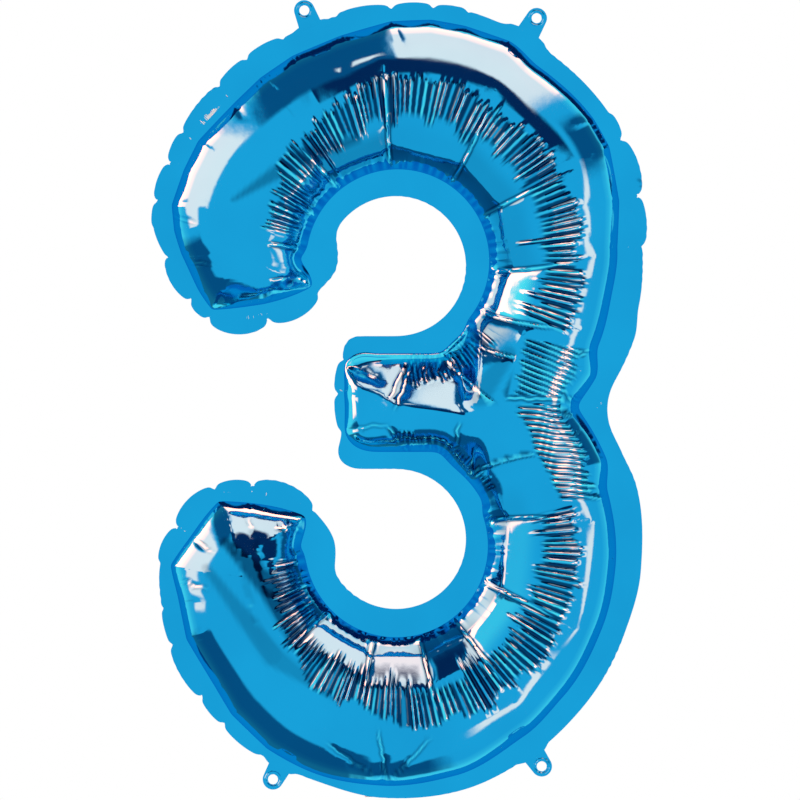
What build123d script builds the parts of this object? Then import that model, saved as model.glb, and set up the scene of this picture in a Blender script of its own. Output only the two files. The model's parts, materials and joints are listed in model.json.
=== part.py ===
"""Foil number balloon in the shape of a 3, air filled, hung by its top tabs.

Part frame: +X to the viewer's right, +Y away from the viewer, +Z up, origin at the centre of the
bounding box. The two foil panels meet at y = 0 and bulge to either side of it. Millimetres.
"""

import os
from math import atan2, cos, degrees, hypot, radians, sin

from build123d import *

# Driving dimensions ------------------------------------------------------------------------------
height = 380.0  # top of the highest tab to the bottom edge
width = 237.0
depth = 60.0  # over both inflated panels
film = 0.5  # drawn wall of one foil ply; the real film is about 0.03

seal_gap = 0.1  # thickness of the welded band between the plies
seal_setback = 3.0  # from the cut edge to the welded band
seal_width = 5.0
seal_opening_height = 32.0  # of the gap left for the valve, centred on the cut edge
outer_margin = 9.0  # flat edge outside the inflated body
hole_margin = 12.7  # flat edge around the two round bays

upper_radius = width / 2
lower_radius = 117.2
upper_lobe = (0.0, 68.5)
lower_lobe = (lower_radius - width / 2, lower_radius - height / 2)
hole_radius = 33.3
upper_hole = (-1.7, 63.5)
lower_hole = (-1.7, -66.3)
waist_radius = 27.0

upper_hook_radius = 44.0
upper_hook_z = 75.5
lower_hook_radius = 43.5
lower_hook_z = -82.0
hook_blend_radius = 12.0

arm_tip_x = -31.2
arm_corner_radius = 12.0
arm_half_height = 23.5  # of the inflated arm
arm_half_depth = 27.0
arm_tip_margin = 6.0
arm_end_x = 40.0  # where the arm runs into the two tubes
arm_end_round = 12.0
tube_end_angle = 52.0  # how far past the horizontal each tube runs into the junction

tab_radius = 4.9
tab_eye_radius = 2.4
tab_root_width = 9.0
tab_fold_gap = 0.9  # from the cut edge to the tab's fold line
tab_bead_radius = 0.4  # raised ring pressed around each eye
tab_bead_ring = 3.6
shoulder_radius = 10.0  # the edge swells under the top right tab
shoulder_rise = 5.9
shoulder_blend = 12.0
top_left_eye = (-45.3, height / 2 - tab_radius)
top_right_eye = (65.2, 181.4)
bottom_left_eye = (-60.2, -180.6)
bottom_right_eye = (67.6, -174.4)

valve_x = -5.5
valve_width = 22.0
valve_film = 0.2
valve_channel = 0.2  # open gap between the two films
valve_fold_gap = 0.5  # each film stops this far from the fold line, on both sides
valve_fold_rise = 2.5  # of the fold line, above the lowest point of the air space
valve_flap_length = 48.0
valve_setback = 1.0  # of the films' outer ends, inside the cut edge
valve_weld_width = 2.0  # joined side edges of the neck
barrier_width = 14.0
barrier_thickness = 0.05


# Places worked out from them ---------------------------------------------------------------------
def hook_centre(lobe, lobe_radius, hook_radius, z):
    """Centre of a round hook end that touches its lobe's circle from inside, on the left."""
    reach = lobe_radius - hook_radius
    rise = z - lobe[1]
    return (lobe[0] - (reach**2 - rise**2) ** 0.5, z)


def beyond(start, through, reach):
    """The point at a distance reach from start, on the line through another point."""
    run, rise = through[0] - start[0], through[1] - start[1]
    scale = reach / hypot(run, rise)
    return (start[0] + run * scale, start[1] + rise * scale)


upper_hook = hook_centre(upper_lobe, upper_radius, upper_hook_radius, upper_hook_z)
lower_hook = hook_centre(lower_lobe, lower_radius, lower_hook_radius, lower_hook_z)
ply_face = seal_gap / 2  # |y| of each ply's inner face
tab_thickness = 2 * film + seal_gap
front = Plane.XZ  # its normal points at the viewer, along -Y
cut_edge_z = lower_lobe[1] - lower_radius
air_bottom_z = (lower_lobe[1] + lower_hole[1]) / 2 - (lower_radius - outer_margin)
valve_fold_z = air_bottom_z + valve_fold_rise
valve_face = valve_channel / 2  # |y| of the valve films' inner faces
shoulder_apex = upper_radius + shoulder_rise


os.makedirs("parts", exist_ok=True)


def save(piece, name):
    """Label a finished piece with its node's name and write it."""
    piece.part.label = name
    export_step(piece.part, f"parts/{name}.step")


def cut_line():
    """The die-cut outline of the figure, drawn flat: its Y is the balloon's Z."""
    arm_top = upper_hole[1] - hole_radius
    arm_bottom = lower_hole[1] + hole_radius
    with BuildSketch() as outline:
        with Locations(upper_lobe):
            Circle(upper_radius)
        with Locations(lower_lobe):
            Circle(lower_radius)
        with Locations(upper_hole, lower_hole):
            Circle(hole_radius, mode=Mode.SUBTRACT)
        with BuildLine():
            Polyline(
                beyond(upper_lobe, upper_hook, width),
                upper_lobe,
                upper_hole,
                lower_hole,
                lower_lobe,
                beyond(lower_lobe, lower_hook, width),
                close=True,
            )
        make_face(mode=Mode.SUBTRACT)
        with Locations(((arm_tip_x + upper_hole[0]) / 2, (arm_top + arm_bottom) / 2)):
            Rectangle(upper_hole[0] - arm_tip_x, arm_top - arm_bottom)
        with Locations(upper_hook):
            Circle(upper_hook_radius)
        with Locations(lower_hook):
            Circle(lower_hook_radius)
        with Locations(beyond(upper_lobe, top_right_eye, shoulder_apex - shoulder_radius)):
            Circle(shoulder_radius)
        shoulder = outline.vertices().sort_by_distance((*top_right_eye, 0))[:2]
        fillet(shoulder, shoulder_blend)
        tip = outline.vertices().filter_by_position(Axis.X, arm_tip_x - 0.1, arm_tip_x + 0.1)
        fillet(tip.filter_by_position(Axis.Y, arm_bottom - 0.1, arm_top + 0.1), arm_corner_radius)
        waist = (upper_radius * 0.8, (upper_lobe[1] + lower_lobe[1]) / 2, 0)
        fillet(outline.vertices().sort_by_distance(waist)[0], waist_radius)
        upper_notch = (upper_hook[0] + upper_hook_radius, upper_hook[1], 0)
        fillet(outline.vertices().sort_by_distance(upper_notch)[0], hook_blend_radius)
        lower_notch = (lower_hook[0] + lower_hook_radius, lower_hook[1], 0)
        fillet(outline.vertices().sort_by_distance(lower_notch)[0], hook_blend_radius)
    return outline.sketch


def spoke(centre, angle):
    """The plane of a tube's section: its X runs out from the tube's centre of bend."""
    out = (cos(radians(angle)), 0, sin(radians(angle)))
    return Plane((centre[0], 0, centre[1]), x_dir=out, z_dir=(-out[2], 0, out[0]))


def arm_body(inset):
    """The short straight arm between the two bays, with a rounded end on the left."""
    tip_x = arm_tip_x + arm_tip_margin + inset
    middle_z = (upper_hole[1] + lower_hole[1]) / 2
    with BuildPart() as arm:
        with BuildSketch(Plane((tip_x, 0, middle_z), x_dir=(0, 0, 1), z_dir=(1, 0, 0))):
            Ellipse(arm_half_height - inset, arm_half_depth - inset)
        extrude(amount=arm_end_x - tip_x)
        fillet(arm.edges().sort_by(Axis.X)[0], arm_end_round)
    return arm.part


def air_body(inset):
    """The inflated volume, drawn as two bent tubes, an arm and rounded ends, shrunk by inset."""
    rings = (
        (upper_lobe, upper_radius, upper_hole, upper_hook, 1),
        (lower_lobe, lower_radius, lower_hole, lower_hook, -1),
    )
    half_depth = depth / 2 - inset
    arm = arm_body(inset)
    with BuildPart() as body:
        for lobe, lobe_radius, hole, hook, side in rings:
            centre = ((lobe[0] + hole[0]) / 2, (lobe[1] + hole[1]) / 2)
            outside = lobe_radius - outer_margin
            inside = hole_radius + hole_margin
            middle = (outside + inside) / 2
            half_width = (outside - inside) / 2 - inset
            hook_angle = degrees(atan2(hook[1] - centre[1], hook[0] - centre[0]))
            with BuildSketch(spoke(centre, hook_angle)):
                with Locations((middle, 0)):
                    Ellipse(half_width, half_depth)
            bend = Axis((centre[0], 0, centre[1]), (0, side, 0))
            revolve(axis=bend, revolution_arc=abs(hook_angle) + tube_end_angle)
            for end_angle, turn in ((hook_angle, -side), (-side * tube_end_angle, side)):
                end_plane = spoke(centre, end_angle)
                with BuildSketch(end_plane):
                    with Locations((middle, 0)):
                        Ellipse(half_width, half_depth)
                    with Locations((middle, 0)):
                        near_half = (Align.MAX, Align.CENTER)
                        Rectangle(half_width, depth, align=near_half, mode=Mode.SUBTRACT)
                end_axis = Axis(end_plane.from_local_coords((middle, 0, 0)), (0, turn, 0))
                revolve(axis=end_axis, revolution_arc=180)
        add(arm)
    return body.part


# The shapes that several pieces share ------------------------------------------------------------
figure = cut_line()
outer_air = air_body(0)
inner_air = air_body(film)


# The two foil panels -----------------------------------------------------------------------------
def foil_panel(side):
    """One ply: the flat edge all round, and the bulge over the air space. Side 1 is the front."""
    inner_face = Plane((0, -side * ply_face, 0), x_dir=(1, 0, 0), z_dir=(0, -side, 0))
    with BuildPart() as ply:
        with BuildSketch(front.offset(side * ply_face)):
            add(figure)
        extrude(amount=side * film)
        add(outer_air)
        split(bisect_by=inner_face, keep=Keep.TOP)
        add(inner_air, mode=Mode.SUBTRACT)
        with BuildSketch(front):
            with Locations((valve_x, (cut_edge_z + valve_fold_z) / 2)):
                Rectangle(valve_width, valve_fold_z - cut_edge_z)
        extrude(amount=side * (valve_face + valve_film), mode=Mode.SUBTRACT)
    return ply.part


with BuildPart() as front_panel:
    add(foil_panel(1))
save(front_panel, "front_panel")

with BuildPart() as rear_panel:
    add(foil_panel(-1))
save(rear_panel, "rear_panel")


# The welded band between the panels, open where the valve passes ---------------------------------
with BuildPart() as perimeter_heat_seal:
    with BuildSketch(front):
        offset(figure, amount=-seal_setback)
        offset(figure, amount=-seal_setback - seal_width, mode=Mode.SUBTRACT)
        with Locations((valve_x, cut_edge_z)):
            Rectangle(valve_width, seal_opening_height, mode=Mode.SUBTRACT)
    extrude(amount=seal_gap / 2, both=True)
save(perimeter_heat_seal, "perimeter_heat_seal")


# The four tabs, each free to fold where it leaves the edge ---------------------------------------
def hang_tab(eye, lobe, edge_reach):
    """A flat tab with an eye. Its root is rounded about the fold line, so that it can turn."""
    reach = hypot(eye[0] - lobe[0], eye[1] - lobe[1])
    out_x, out_z = (eye[0] - lobe[0]) / reach, (eye[1] - lobe[1]) / reach
    fold_reach = edge_reach + tab_fold_gap
    fold_point = (lobe[0] + out_x * fold_reach, 0, lobe[1] + out_z * fold_reach)
    flat = Plane(fold_point, x_dir=(out_z, 0, -out_x), z_dir=(0, -1, 0))
    across = Plane(fold_point, x_dir=(0, 1, 0), z_dir=(out_z, 0, -out_x))
    eye_y = reach - fold_reach
    with BuildPart() as tab:
        with BuildSketch(flat) as shape:
            with Locations((0, eye_y)):
                Circle(tab_radius)
            with BuildLine():
                Line((-tab_root_width / 2, 0), (tab_root_width / 2, 0))
            make_hull()
            with Locations((0, eye_y)):
                Circle(tab_eye_radius, mode=Mode.SUBTRACT)
        extrude(amount=tab_thickness / 2, both=True)
        with BuildSketch(across):
            Circle(tab_thickness / 2)
        extrude(amount=tab_root_width / 2, both=True)
        for side in (1, -1):
            with Locations(flat.offset(side * tab_thickness / 2)):
                with Locations((0, eye_y)):
                    Torus(tab_bead_ring, tab_bead_radius)
    return tab.part


with BuildPart() as hang_tab_top_left:
    add(hang_tab(top_left_eye, upper_lobe, upper_radius))
save(hang_tab_top_left, "hang_tab_top_left")

with BuildPart() as hang_tab_top_right:
    add(hang_tab(top_right_eye, upper_lobe, shoulder_apex))
save(hang_tab_top_right, "hang_tab_top_right")

with BuildPart() as hang_tab_bottom_left:
    add(hang_tab(bottom_left_eye, lower_lobe, lower_radius))
save(hang_tab_bottom_left, "hang_tab_bottom_left")

with BuildPart() as hang_tab_bottom_right:
    add(hang_tab(bottom_right_eye, lower_lobe, lower_radius))
save(hang_tab_bottom_right, "hang_tab_bottom_right")


# The self-closing valve: two films welded at their sides, through the bottom edge ------------------
neck_bottom_z = cut_edge_z + valve_setback
neck_top_z = valve_fold_z - valve_fold_gap
flap_bottom_z = valve_fold_z + valve_fold_gap


def valve_strip(side, bottom_z, top_z):
    """One flat strip of valve film. Side 1 is the front film."""
    with BuildPart() as strip:
        with BuildSketch(front.offset(side * valve_face)):
            with Locations((valve_x, (bottom_z + top_z) / 2)):
                Rectangle(valve_width, top_z - bottom_z)
        extrude(amount=side * valve_film)
    return strip.part


with BuildPart() as valve_neck_front_film:
    add(valve_strip(1, neck_bottom_z, neck_top_z))
save(valve_neck_front_film, "valve_neck_front_film")

with BuildPart() as valve_neck_rear_film:
    add(valve_strip(-1, neck_bottom_z, neck_top_z))
    with BuildSketch(front):
        weld_x = (valve_width - valve_weld_width) / 2
        for weld_side in (-weld_x, weld_x):
            with Locations((valve_x + weld_side, (neck_bottom_z + neck_top_z) / 2)):
                Rectangle(valve_weld_width, neck_top_z - neck_bottom_z)
    extrude(amount=valve_face, both=True)
save(valve_neck_rear_film, "valve_neck_rear_film")

with BuildPart() as valve_heat_barrier:
    with BuildSketch(front.offset(valve_face - barrier_thickness)):
        with Locations((valve_x, (neck_bottom_z + neck_top_z) / 2)):
            Rectangle(barrier_width, neck_top_z - neck_bottom_z)
    extrude(amount=barrier_thickness)
save(valve_heat_barrier, "valve_heat_barrier")

with BuildPart() as valve_flap_front_film:
    add(valve_strip(1, flap_bottom_z, flap_bottom_z + valve_flap_length))
save(valve_flap_front_film, "valve_flap_front_film")

with BuildPart() as valve_flap_rear_film:
    add(valve_strip(-1, flap_bottom_z, flap_bottom_z + valve_flap_length))
save(valve_flap_rear_film, "valve_flap_rear_film")
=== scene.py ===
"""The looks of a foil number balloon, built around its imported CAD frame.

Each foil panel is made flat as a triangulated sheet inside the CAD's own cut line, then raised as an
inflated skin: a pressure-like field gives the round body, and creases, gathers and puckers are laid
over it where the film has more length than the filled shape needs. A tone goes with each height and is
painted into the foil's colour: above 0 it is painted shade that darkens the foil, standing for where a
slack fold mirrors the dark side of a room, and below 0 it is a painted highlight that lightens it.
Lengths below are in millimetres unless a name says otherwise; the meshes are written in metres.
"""
import json
import math

import bpy
import numpy as np
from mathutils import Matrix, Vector
from mathutils.geometry import delaunay_2d_cdt


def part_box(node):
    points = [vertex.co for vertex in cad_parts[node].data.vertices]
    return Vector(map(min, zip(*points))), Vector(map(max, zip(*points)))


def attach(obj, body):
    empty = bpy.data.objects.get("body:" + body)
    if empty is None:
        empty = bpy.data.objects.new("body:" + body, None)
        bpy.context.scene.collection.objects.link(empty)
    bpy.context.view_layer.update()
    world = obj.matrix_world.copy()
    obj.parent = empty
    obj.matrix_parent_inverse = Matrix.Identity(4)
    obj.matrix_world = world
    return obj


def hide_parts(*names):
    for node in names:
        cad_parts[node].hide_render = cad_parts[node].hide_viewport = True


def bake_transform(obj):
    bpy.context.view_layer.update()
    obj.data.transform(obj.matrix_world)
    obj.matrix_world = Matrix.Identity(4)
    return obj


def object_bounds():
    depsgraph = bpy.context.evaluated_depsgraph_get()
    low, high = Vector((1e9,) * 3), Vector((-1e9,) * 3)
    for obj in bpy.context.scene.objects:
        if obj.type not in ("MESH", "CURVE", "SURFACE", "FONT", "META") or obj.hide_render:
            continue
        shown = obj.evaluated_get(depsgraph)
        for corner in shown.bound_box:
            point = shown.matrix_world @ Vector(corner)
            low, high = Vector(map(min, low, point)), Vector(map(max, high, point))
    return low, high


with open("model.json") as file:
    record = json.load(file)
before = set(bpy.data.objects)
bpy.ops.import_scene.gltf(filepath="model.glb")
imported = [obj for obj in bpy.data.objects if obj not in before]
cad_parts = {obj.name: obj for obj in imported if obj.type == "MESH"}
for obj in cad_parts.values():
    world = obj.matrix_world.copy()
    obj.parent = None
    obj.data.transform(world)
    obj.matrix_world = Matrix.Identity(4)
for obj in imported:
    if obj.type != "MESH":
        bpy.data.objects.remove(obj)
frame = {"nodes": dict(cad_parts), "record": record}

MM = 0.001
cad_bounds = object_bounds()
nodes = frame["nodes"]


# Small numeric tools ------------------------------------------------------------------------------
def ease(low, high, value):
    """0 below low, 1 above high, and a smooth step between. low may be the larger one."""
    t = np.clip((value - low) / (high - low), 0.0, 1.0)
    return t * t * (3.0 - 2.0 * t)


def plateau(value, start, full, fall, stop):
    """0 below start, 1 from full to fall, and 0 above stop."""
    return ease(start, full, value) * (1.0 - ease(fall, stop, value))


def bell(value, width):
    """1 at zero, and nearly nothing at twice the width."""
    return np.exp(-((value / width) ** 2))


def overlay(tone, over):
    """A tone with another laid over it: the stronger the upper one is, the less it lets through."""
    return tone * (1.0 - np.abs(over).clip(0, 1)) + over


def wave_noise(position, wavelength, seed, octaves=2):
    """Smooth seeded noise along a line, about -1 to 1."""
    rng = np.random.default_rng(seed)
    total = np.zeros_like(position)
    for octave in range(octaves):
        scale = 2.0 * math.pi / (wavelength / 1.9**octave)
        for _ in range(3):
            turn, phase = rng.uniform(0.7, 1.4), rng.uniform(0, 2 * math.pi)
            total += np.sin(position * scale * turn + phase) / (3 * 1.5**octave)
    return total


def cell_value(cell, seed):
    """A repeatable random number from 0 to 1 for each whole number."""
    mixed = np.sin(cell * 12.9898 + seed * 78.233) * 43758.5453
    return mixed - np.floor(mixed)


def circle(count):
    """Evenly spaced points round a circle of radius 1."""
    turn = np.linspace(0, 2 * math.pi, count, endpoint=False)
    return np.column_stack([np.cos(turn), np.sin(turn)])


def heading(degrees):
    """Unit vectors in the given directions, counterclockwise from the right."""
    angle = np.radians(degrees)
    return np.stack([np.cos(angle), np.sin(angle)], axis=-1)


def staggered(xs, zs, shift):
    """Points in rows, with every other row moved sideways by shift."""
    grid_x, grid_z = np.meshgrid(xs, zs)
    grid_x = grid_x + (np.arange(len(zs)) % 2)[:, None] * shift
    return np.column_stack([grid_x.ravel(), grid_z.ravel()])


def beside_line(places, line):
    """(distance along a line, distance out on its right, distance past its nearer end, its length)."""
    ax, az, bx, bz = line
    run = np.array([bx - ax, bz - az])
    length = float(np.hypot(*run))
    run = run / length
    away = places - (ax, az)
    along = away @ run
    return along, away @ np.array([run[1], -run[0]]), np.maximum(-along, along - length).clip(0.0), length


def soften_loop(points, sigma):
    """A closed row of points, smoothed along its length. sigma is in points."""
    turns = np.fft.fftfreq(len(points))
    keep = np.exp(-2.0 * (math.pi * turns * sigma) ** 2)
    keep = keep.reshape(-1, *[1] * (points.ndim - 1))
    return np.real(np.fft.ifft(np.fft.fft(points, axis=0) * keep, axis=0))


def resample(points, spacing):
    """The closed loop through points, as evenly spaced points that run counterclockwise."""
    following = np.roll(points, -1, axis=0)
    area = np.sum(points[:, 0] * following[:, 1] - following[:, 0] * points[:, 1])
    if area < 0:
        points = points[::-1]
    closed = np.vstack([points, points[:1]])
    along = np.concatenate([[0.0], np.cumsum(np.hypot(*np.diff(closed, axis=0).T))])
    count = int(round(along[-1] / spacing))
    marks = np.linspace(0.0, along[-1], count, endpoint=False)
    return np.column_stack([np.interp(marks, along, closed[:, i]) for i in (0, 1)])


class Loop:
    """A closed curve: evenly spaced points, with its tangents and outward normals."""

    def __init__(self, points, spacing):
        self.points = points
        self.spacing = spacing
        ahead = np.roll(points, -1, axis=0) - np.roll(points, 1, axis=0)
        self.tangent = ahead / np.hypot(*ahead.T)[:, None]
        self.normal = np.column_stack([self.tangent[:, 1], -self.tangent[:, 0]])

    def nearest(self, places):
        """(index of the nearest point, distance inside the curve) for each place; outside is negative."""
        index = np.empty(len(places), dtype=int)
        squared = np.sum(self.points**2, axis=1)
        for start in range(0, len(places), 4000):
            block = places[start : start + 4000]
            index[start : start + 4000] = np.argmin(squared - 2.0 * block @ self.points.T, axis=1)
        away = places - self.points[index]
        across = np.sum(away * self.normal[index], axis=1)
        along = np.sum(away * self.tangent[index], axis=1)
        far = np.abs(along) > self.spacing
        size = np.where(far, np.hypot(away[:, 0], away[:, 1]), np.abs(across))
        return index, -np.sign(across) * size

    def spot(self, place):
        """The index of the point nearest to one place."""
        return int(np.argmin(np.sum((self.points - np.asarray(place)) ** 2, axis=1)))

    def moved(self, amount):
        """The loop with each point moved outwards by amount."""
        return Loop(self.points + self.normal * np.asarray(amount).reshape(-1, 1), self.spacing)


# Sides of triangles ---------------------------------------------------------------------------------
def open_sides(triangles):
    """The sides, as (start, end), that no neighbouring triangle shares."""
    sides = {side for a, b, c in triangles for side in ((a, b), (b, c), (c, a)) if side[0] != side[1]}
    return [(a, b) for a, b in sides if (b, a) not in sides]


def closed_sides(first, count):
    """The sides of a closed row of points."""
    return [(first + i, first + (i + 1) % count) for i in range(count)]


# The cut line and the seam line, read from the CAD panel's flat edge -------------------------------
def flat_edge_loops(node):
    """The boundary loops of the flat outer face of a panel's edge, as (x, z) points, longest first."""
    mesh = nodes[node].data
    places = np.empty(len(mesh.vertices) * 3)
    mesh.vertices.foreach_get("co", places)
    places = places.reshape(-1, 3) / MM
    mesh.calc_loop_triangles()
    corners = np.empty(len(mesh.loop_triangles) * 3, dtype=np.int32)
    mesh.loop_triangles.foreach_get("vertices", corners)
    corners = corners.reshape(-1, 3)
    level = places[places[:, 2] > places[:, 2].max() - 0.01, 1].min()
    on_level = np.abs(places[:, 1] - level) < 0.002
    corners = corners[on_level[corners].all(axis=1)]
    keys = {}
    welded = [keys.setdefault((round(x, 3), round(z, 3)), len(keys)) for x, _, z in places]
    spots = np.array(list(keys))
    onward = dict(open_sides([[welded[corner] for corner in triangle] for triangle in corners]))
    loops = []
    while onward:
        first, here = next(iter(onward.items()))
        loop = [first]
        while here != first and here in onward:
            loop.append(here)
            here = onward.pop(here)
        onward.pop(first, None)
        loops.append(spots[loop])
    return sorted(loops, key=len, reverse=True)


cut_points, seam_points = flat_edge_loops("front_panel")[:2]
LINE_STEP = 0.8                         # spacing of the points along the cut line and the seam
cut_line = Loop(soften_loop(resample(cut_points, LINE_STEP), 2.0), LINE_STEP)
seam_line = Loop(soften_loop(resample(seam_points, LINE_STEP), 3.5), LINE_STEP)

# The figure is two bent tubes and an arm. Each ring: centre of bend, crown radius, inner seam radius.
half_depth = cad_bounds[1].y / MM
UPPER_RING = (-0.85, 66.0)
LOWER_RING = (-1.5, -69.5)
CROWN_RADIUS = 77.7
INNER_SEAM_RADIUS = 44.0
INNER_SEAM_SHIFT = 2.4                  # the puckers there start this much nearer the hole than the CAD's line
UPPER_LOBE, LOWER_LOBE = (0.0, 68.5), (-1.3, -72.8)
UPPER_HOOK, LOWER_HOOK = (-74.2, 75.5), (-74.4, -82.0)
MIDDLE_Z = -1.4                         # between the two tubes
BOTTOM_Z = -150.0                       # the figure's lowest part, where the valve is, lies below this


# Scallops: the cut edge is pinched in at some places, and bellies out between them ------------------
# Round each centre, counterclockwise: (direction in degrees, seam's reach, cut edge's reach, the edge's
# reach half way to the next, pinched). None leaves the CAD's line as it is.
TURNS = (
    (UPPER_LOBE, (
        (-24.0, 103.8, None, None, False), (-12.0, 102.6, 116.3, None, False),
        (2.0, 103.6, 115.6, 118.7, True), (14.0, 107.6, 117.1, 121.8, True),
        (27.6, 112.4, 119.0, 121.6, True), (34.6, 112.9, 120.5, 122.2, True),
        (53.5, 111.6, 120.2, None, False), (63.0, 114.6, None, None, True),
        (74.0, 113.6, 120.7, 121.5, True), (82.2, 113.2, 119.4, 120.6, True),
        (92.0, 111.5, 118.0, 120.0, True), (105.0, 108.3, 117.7, None, True),
        (118.3, 107.8, 117.4, 119.8, True), (128.0, 107.4, 118.8, 120.0, True),
        (137.0, 107.0, 118.2, 120.3, True), (150.5, 110.2, 119.0, 120.6, True),
        (158.2, 110.4, 118.3, 120.9, True), (167.5, 111.0, 118.8, 119.6, True),
        (174.0, 107.8, 117.6, None, True),
    )),
    (UPPER_HOOK, (
        (192.0, 30.2, 37.5, 40.0, True), (228.5, 31.9, 37.8, 41.0, True), (246.0, 36.0, 40.1, 44.6, True),
        (288.0, 31.5, 38.9, 45.2, True), (325.5, 39.0, 43.0, None, True), (344.0, None, 46.0, None, False),
    )),
    ((0.0, MIDDLE_Z), (
        (143.0, 32.0, 34.0, 33.3, True), (171.4, 26.7, 30.2, 31.2, True), (207.5, 29.3, 31.3, None, True),
    )),
    (LOWER_HOOK, (
        (20.0, None, 45.8, None, False), (42.0, 39.5, 44.5, 47.0, True), (83.5, 33.0, 41.7, 44.1, True),
        (109.0, 35.6, 42.1, 43.4, True), (145.5, 30.2, 38.2, 41.2, True), (174.0, 34.6, 39.6, None, True),
    )),
    (LOWER_LOBE, (
        (193.5, 106.3, 114.8, 116.3, True), (202.5, 108.2, 116.0, 118.3, True),
        (216.3, 107.4, 115.6, 117.3, True), (224.5, 110.0, 115.9, 117.7, True),
        (236.5, 111.8, 115.8, None, True), (251.0, 112.0, 115.2, None, False),
        (266.5, 111.0, 116.8, None, True), (285.0, 109.6, None, None, False),
        (305.0, 106.2, 115.6, None, False), (319.0, 104.6, 115.0, None, False),
        (340.0, 104.0, 114.9, None, False), (356.0, 104.2, 116.4, None, False),
        (376.0, 104.4, 118.3, None, False),
    )),
)


SEAM, CUT_EDGE = 0, 1                   # which column of the rows a loop reads
ANY_REACH = 45.0                        # where a row gives none, only its direction counts
LONGEST_SCALLOP = 62.0                  # a longer gap between two pinches is a plain stretch
PINCH_REACH = 16.0                      # how far along such a stretch a pinch is felt
CUSP_DEPTH = 1.1                        # how far a pinch cuts into the edge
SEAM_STRAIGHTENING = 0.9                # between two pinches the seam is nearly a straight line


def turning_points(loop, which):
    """Rows of (index on the loop, offset, offset half way on or None, pinched), in order round the loop."""
    found = []
    for centre, rows in TURNS:
        def offset(direction, reach):
            target = np.asarray(centre) + heading(direction) * reach
            index = loop.spot(target)
            return index, float((target - loop.points[index]) @ loop.normal[index])

        for number, row in enumerate(rows):
            direction, reach = row[0], row[1 + which]
            if reach is None:
                index, value = offset(direction, rows[0][1 + which] or ANY_REACH)[0], 0.0
            else:
                index, value = offset(direction, reach)
            middle = None
            if which == CUT_EDGE and row[3] is not None:
                middle = offset((direction + rows[number + 1][0]) / 2, row[3])[1]
            found.append((index, value, middle, row[4]))
    return sorted(found)


def turned(loop, which):
    """(offset from the loop, share of the way between pinches, their distance, gap number) along a loop."""
    rows = turning_points(loop, which)
    count = len(loop.points)
    offset, share_of, gap_of = np.zeros(count), np.zeros(count), np.zeros(count)
    span_of = np.full(count, 1000.0)
    for number, (start, low, middle, pinched) in enumerate(rows):
        end, high, _, next_pinched = rows[(number + 1) % len(rows)]
        steps = (end - start) % count
        if steps == 0:
            continue
        index = (start + np.arange(steps)) % count
        share = np.arange(steps) / steps
        gap = steps * loop.spacing
        lobed = pinched and next_pinched and gap < LONGEST_SCALLOP
        if lobed:
            value = low + (high - low) * share
            if which == CUT_EDGE and middle is not None:
                value = value + (middle - (low + high) / 2) * np.sqrt(4.0 * share * (1.0 - share))
                from_cusp = np.minimum(share, 1.0 - share) * gap
                value = value - CUSP_DEPTH * bell(from_cusp, 1.3)
            if which == SEAM:
                turn = loop.normal[start] @ loop.normal[end % count]
                sagitta = gap * math.acos(min(1.0, max(-1.0, float(turn)))) / 8.0
                value = value - SEAM_STRAIGHTENING * sagitta * 4.0 * share * (1.0 - share)
            span_of[index] = gap
        elif gap > LONGEST_SCALLOP:
            here = share * gap
            value = low * (1.0 - ease(0.0, PINCH_REACH, here)) + high * ease(gap - PINCH_REACH, gap, here)
        else:
            value = low + (high - low) * ease(0.0, 1.0, share)
        offset[index], share_of[index], gap_of[index] = value, share, number
    return offset, share_of, span_of, gap_of


def near_places(loop, places, reach):
    """1 near any of the places, 0 further away than reach."""
    near = np.zeros(len(loop.points))
    for place in places:
        distance = np.hypot(*(loop.points - np.asarray(place)).T)
        near = np.maximum(near, 1.0 - ease(reach * 0.5, reach, distance))
    return near


tab_roots = []
for joint in frame["record"]["behaviour"]["joints"]:
    if joint["name"].startswith("tab_"):
        tab_roots.append((joint["pos_m"][0] / MM, joint["pos_m"][2] / MM))
valve_low, valve_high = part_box("valve_neck_front_film")
valve_mouth = ((valve_low.x + valve_high.x) / 2 / MM, valve_low.z / MM)

calm = 1.0 - near_places(cut_line, tab_roots, 10.0)
along_cut = np.arange(len(cut_line.points)) * LINE_STEP
SERRATION_HEIGHT, SERRATION_PITCH = 0.2, 4.1
serration = SERRATION_HEIGHT * np.sin(along_cut * 2 * math.pi / SERRATION_PITCH)
serration = serration * np.clip(wave_noise(along_cut, 70, 5), 0, 1)
edge = cut_line.moved(soften_loop(turned(cut_line, CUT_EDGE)[0] + serration, 0.7) * calm)
seam_offset, gap_share, gap_span, gap_number = turned(seam_line, SEAM)
pinches = np.array([index for index, _, _, pinched in turning_points(seam_line, SEAM) if pinched])
for centre, first, last in ((UPPER_RING, -50.0, 182.0), (LOWER_RING, -186.0, 30.0)):
    away = seam_line.points - np.asarray(centre)
    round_ring = (np.degrees(np.arctan2(away[:, 1], away[:, 0])) - (first + last) / 2 + 180.0) % 360.0 - 180.0
    within = 1.0 - ease((last - first) / 2 - 12.0, (last - first) / 2, np.abs(round_ring))
    near_hole = 1.0 - ease(50.0, 55.0, np.hypot(away[:, 0], away[:, 1]))
    seam_offset = seam_offset + INNER_SEAM_SHIFT * within * near_hole
seam = seam_line.moved(soften_loop(seam_offset, 0.9))


# The inflated skin: height squared is distance to the seam times a smooth field ---------------------
GRID_STEP = 1.25
SOLVER_SWEEPS, OVER_RELAXATION = 700, 1.93
NEAR_SEAM = 3.0                         # closer than this the field is carried out from further in
CARRY_SWEEPS, SMOOTH_SWEEPS = 24, 6


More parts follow.
